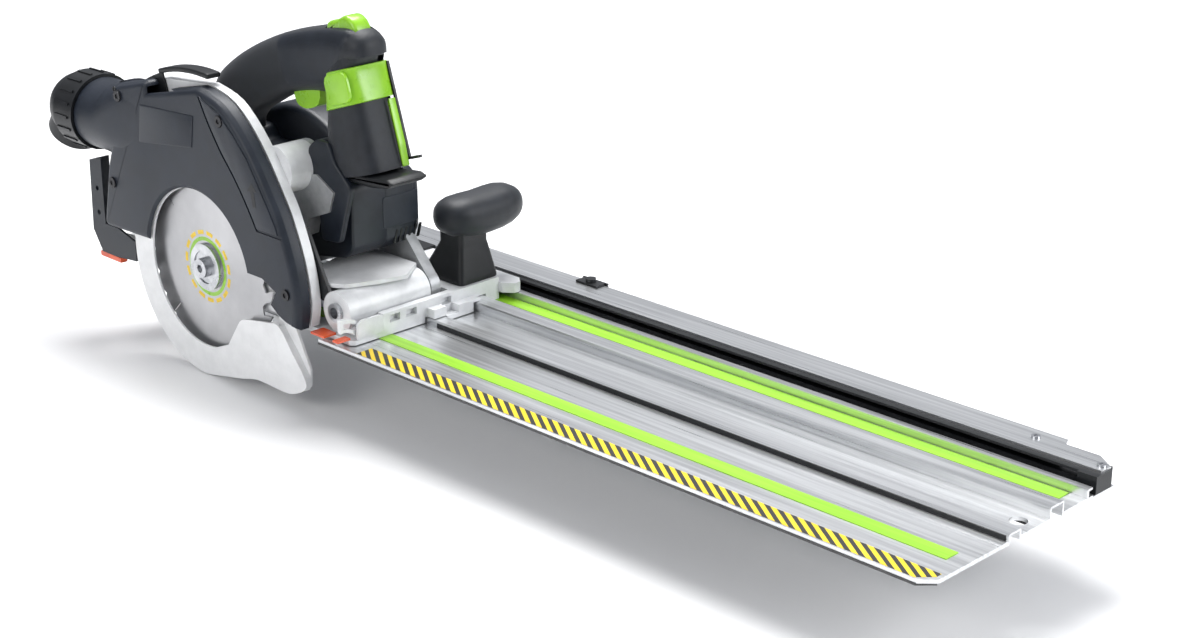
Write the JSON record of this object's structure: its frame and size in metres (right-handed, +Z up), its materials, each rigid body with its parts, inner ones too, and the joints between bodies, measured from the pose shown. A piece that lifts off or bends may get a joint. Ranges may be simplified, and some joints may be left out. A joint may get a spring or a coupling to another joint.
{
  "type": "track plunge saw",
  "caption": "Battery plunge saw on a crosscut guide rail: it slides along the rail, tilts for bevels and plunges about a front pivot, with a swinging lower guard and a geared blade drive.",
  "frame": {"origin": "on the cutting line at the workpiece surface, straight below the blade's axis with the saw at the rail's rear end and at full depth", "axes": "+X is the cutting direction along the rail, +Y points from the blade to the motor, +Z is up"},
  "size_m": [0.8861, 0.2224, 0.29],
  "materials": {
    "white_casting": "fine satin powder coat",
    "dark_housing": "fine grained moulding",
    "cover_plastic": "fine grained moulding",
    "black_plastic": "satin moulding",
    "soft_grip": "dull soft grip",
    "green_plastic": "satin lime green",
    "orange_plastic": "satin red orange",
    "rail_aluminium": "anodised",
    "black_rubber": "dull",
    "splinter_rubber": "dull edge lip",
    "hazard": "yellow tape with black bars",
    "glide": "slippery green strip",
    "gear_steel": "ground",
    "blade_steel": "ground with printed rings",
    "black_steel": "blackened",
    "grey_casting": "bead blasted die casting",
    "guard_metal": "satin light grey",
    "copper": "wound copper",
    "board": "green board"
  },
  "bodies": {
    "rail": {"rail_extrusion": "rail_aluminium", "splinter_guard": "splinter_rubber", "hazard_tape": "hazard", "glide_strip_near": "glide", "glide_strip_far": "glide", "anti_slip_strips": "black_rubber", "return_housing": "black_plastic", "return_cover": "rail_aluminium", "rail_end_cap": "black_plastic", "return_rope": "black_rubber", "rail_screws": "gear_steel", "pivot_stop": "rail_aluminium"},
    "angle_stop": {"angle_stop": "black_steel"},
    "carriage": {"base_plate": "white_casting", "front_segment": "white_casting", "rear_segment": "white_casting", "guide_jaws": "green_plastic", "cut_pointers": "orange_plastic", "rope_catch": "black_plastic", "knob_pedestal": "black_plastic", "knob_grip": "soft_grip"},
    "tilt": {"tilt_frame": "white_casting", "rear_bracket": "dark_housing", "rear_insert": "orange_plastic", "plunge_spring": "gear_steel", "depth_sector": "black_plastic"},
    "bevel_clamp": {"bevel_lever": "black_plastic"},
    "saw": {"gear_housing": "white_casting", "gear_case_cover": "grey_casting", "pivot_arm": "grey_casting", "plunge_shaft": "gear_steel", "blade_cover": "cover_plastic", "cover_panel": "cover_plastic", "cover_screws": "black_steel", "dust_port": "cover_plastic", "motor_housing": "dark_housing", "motor_end_cap": "dark_housing", "control_board": "board", "stator": "copper", "bearings": "gear_steel", "handle_near": "soft_grip", "handle_far": "soft_grip"},
    "arbor": {"arbor": "gear_steel", "inner_flange": "gear_steel", "saw_blade": "blade_steel", "outer_flange": "gear_steel", "arbor_screw": "gear_steel"},
    "layshaft": {"layshaft": "gear_steel"},
    "rotor": {"rotor": "gear_steel", "cooling_fan": "black_plastic"},
    "guard": {"pendulum_guard": "guard_metal", "guard_lever": "black_plastic"},
    "elbow": {"dust_elbow": "black_plastic"},
    "trigger": {"trigger": "green_plastic"},
    "lock_button": {"lock_button": "green_plastic"},
    "quick_lever": {"quick_lever": "green_plastic"},
    "hex_key": {"hex_key": "black_steel"},
    "depth_lever": {"depth_lever": "black_plastic"},
    "battery": {"battery_pack": "dark_housing", "battery_latch": "green_plastic"}
  },
  "joints": [
    {"name": "angle_stop_slide", "type": "slide", "parent": "rail", "child": "angle_stop", "axis": [1, 0, 0], "range_m": [0, 0.35]},
    {"name": "saw_travel", "type": "slide", "parent": "rail", "child": "carriage", "axis": [1, 0, 0], "range_m": [0, 0.48]},
    {"name": "bevel_tilt", "type": "hinge", "parent": "carriage", "child": "tilt", "pos_m": [0, 0, 0], "axis": [1, 0, 0], "range_deg": [0, 50]},
    {"name": "bevel_clamp_turn", "type": "hinge", "parent": "tilt", "child": "bevel_clamp", "pos_m": [-0.117, 0.01781, 0.01113], "axis": [1, 0, 0], "range_deg": [-20, 0]},
    {"name": "plunge", "type": "hinge", "parent": "tilt", "child": "saw", "pos_m": [0.137, 0, 0.024], "axis": [0, 1, 0], "range_deg": [0, 23.5], "stiffness_Nm_per_rad": 8, "springref_deg": 42.97},
    {"name": "blade_spin", "type": "hinge", "parent": "saw", "child": "arbor", "pos_m": [0, 0, 0.029], "axis": [0, 1, 0], "continuous": true},
    {"name": "lay_spin", "type": "hinge", "parent": "saw", "child": "layshaft", "pos_m": [0.0198, 0, 0.0495], "axis": [0, 1, 0], "continuous": true},
    {"name": "motor_spin", "type": "hinge", "parent": "saw", "child": "rotor", "pos_m": [0.0389, 0, 0.06928], "axis": [0, 1, 0], "continuous": true},
    {"name": "guard_swing", "type": "hinge", "parent": "saw", "child": "guard", "pos_m": [0, 0, 0.029], "axis": [0, 1, 0], "range_deg": [0, 80], "stiffness_Nm_per_rad": 0.12, "springref_deg": -34.38},
    {"name": "elbow_turn", "type": "hinge", "parent": "saw", "child": "elbow", "pos_m": [-0.16, 0.014, 0.118], "axis": [1, 0, 0], "range_deg": [-90, 90]},
    {"name": "trigger_pull", "type": "slide", "parent": "saw", "child": "trigger", "axis": [0, 0, 1], "range_m": [0, 0.005], "stiffness_N_per_m": 800, "springref_m": -0.002},
    {"name": "lock_press", "type": "slide", "parent": "saw", "child": "lock_button", "axis": [0, 0, -1], "range_m": [0, 0.004], "stiffness_N_per_m": 800, "springref_m": -0.002},
    {"name": "quick_lever_open", "type": "hinge", "parent": "saw", "child": "quick_lever", "pos_m": [0.15396, 0, 0.1285], "axis": [0, 1, 0], "range_deg": [0, 30]},
    {"name": "hex_key_slide", "type": "slide", "parent": "saw", "child": "hex_key", "axis": [0.3064, 0, -0.9519], "range_m": [0, 0.07]},
    {"name": "depth_lever_press", "type": "hinge", "parent": "saw", "child": "depth_lever", "pos_m": [0.112, 0, 0.1216], "axis": [0, 1, 0], "range_deg": [0, 6], "stiffness_Nm_per_rad": 1.5, "springref_deg": -8.59},
    {"name": "battery_slide", "type": "slide", "parent": "saw", "child": "battery", "axis": [-1, 0, 0], "range_m": [0, 0.06]}
  ],
  "couplings": [
    {"joint": "lay_spin", "follows": "blade_spin", "ratio": -1.7143},
    {"joint": "motor_spin", "follows": "blade_spin", "ratio": 5.8286}
  ]
}
